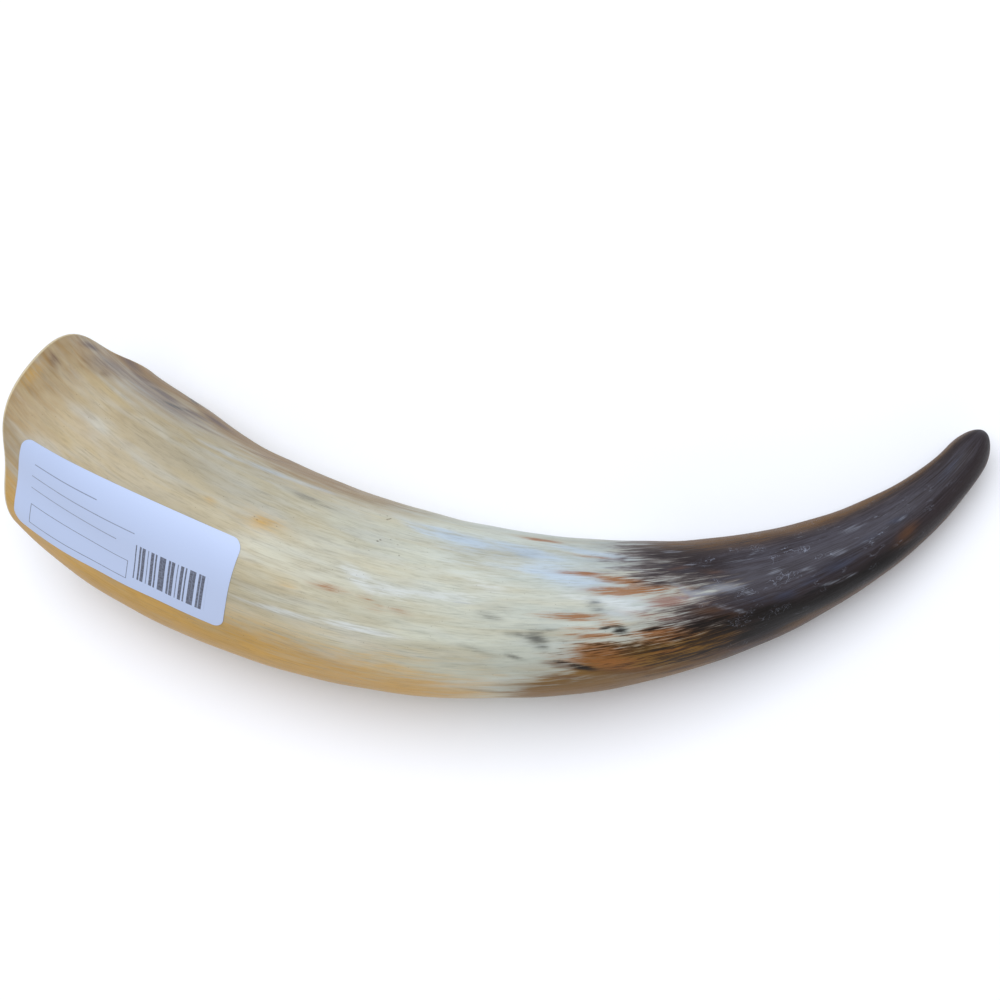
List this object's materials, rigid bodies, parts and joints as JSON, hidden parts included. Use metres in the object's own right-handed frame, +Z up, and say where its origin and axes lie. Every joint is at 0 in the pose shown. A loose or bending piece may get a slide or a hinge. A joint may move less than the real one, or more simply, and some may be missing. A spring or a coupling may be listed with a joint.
{
  "type": "water buffalo horn",
  "caption": "Hollow polished horn, curved and tapering from a saw-cut open base to a rounded dark tip, with a blank paper price label near the base.",
  "frame": {"origin": "on the floor under the middle of the horn's bounding box, with the horn lying on its side", "axes": "+X from the base to the tip along the longest extent, +Y to the inside of the curve, +Z up"},
  "size_m": [0.2604, 0.0942, 0.0563],
  "materials": {
    "keratin": "satin polished",
    "paper": "matte"
  },
  "bodies": {
    "root": {"horn": "keratin", "label": "paper"}
  },
  "joints": []
}
